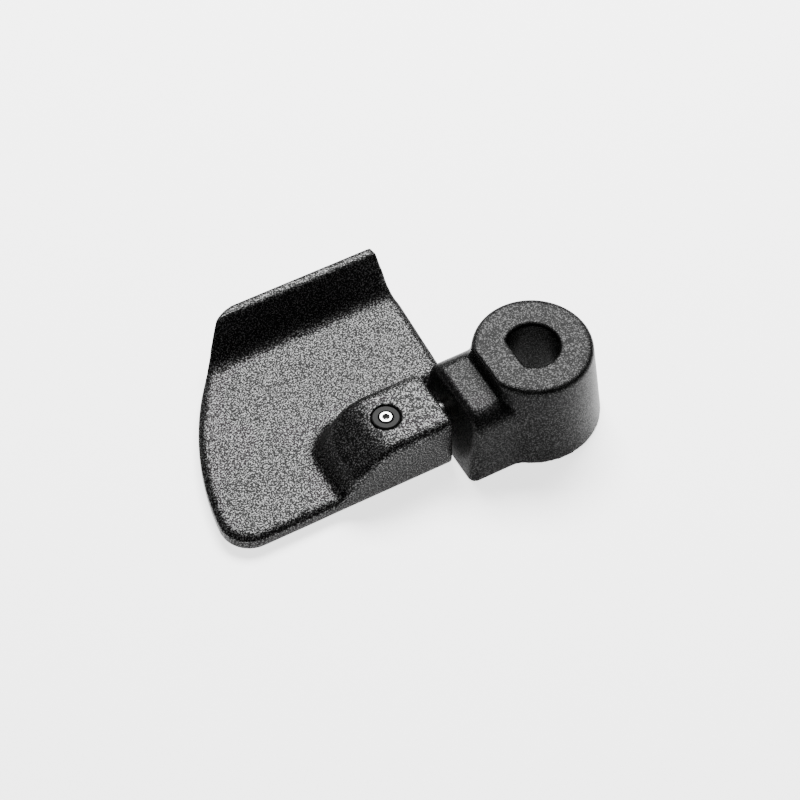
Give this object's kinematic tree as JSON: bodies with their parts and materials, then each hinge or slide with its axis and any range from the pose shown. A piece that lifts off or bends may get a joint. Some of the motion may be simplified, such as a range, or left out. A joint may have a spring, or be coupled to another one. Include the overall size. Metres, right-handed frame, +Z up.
{
  "type": "folding kneading paddle",
  "caption": "Low drive hub with a D-shaped socket and a hinged flat blade with an upturned lip, which folds flat or stands up to knead dough.",
  "frame": {"origin": "on the drive socket's axis, at the hub's underside", "axes": "+Z up along the drive shaft's axis, out of the hub's top; the hinge axis runs along X and the blade reaches out towards -X; the blade's lip is on the +Y side"},
  "size_m": [0.0641, 0.0454, 0.0153],
  "materials": {
    "coating_hub": "die-cast, dark speckled non-stick coating",
    "coating_blade": "die-cast, dark speckled non-stick coating",
    "steel": "ground and polished stainless",
    "ring": "dark, lightly worn",
    "bush": "plain bearing polymer"
  },
  "bodies": {
    "hub": {"hub": "coating_hub", "hinge_shaft": "steel", "anchor_dowel": "steel"},
    "blade": {"blade": "coating_blade", "retaining_pin": "steel", "pin_ring": "ring", "bush_inboard": "bush", "bush_outboard": "bush"}
  },
  "joints": [
    {"name": "blade_fold", "type": "hinge", "parent": "hub", "child": "blade", "pos_m": [-0.02, 0.0021, 0.0052], "axis": [1, 0, 0], "range_deg": [0, 90]}
  ]
}
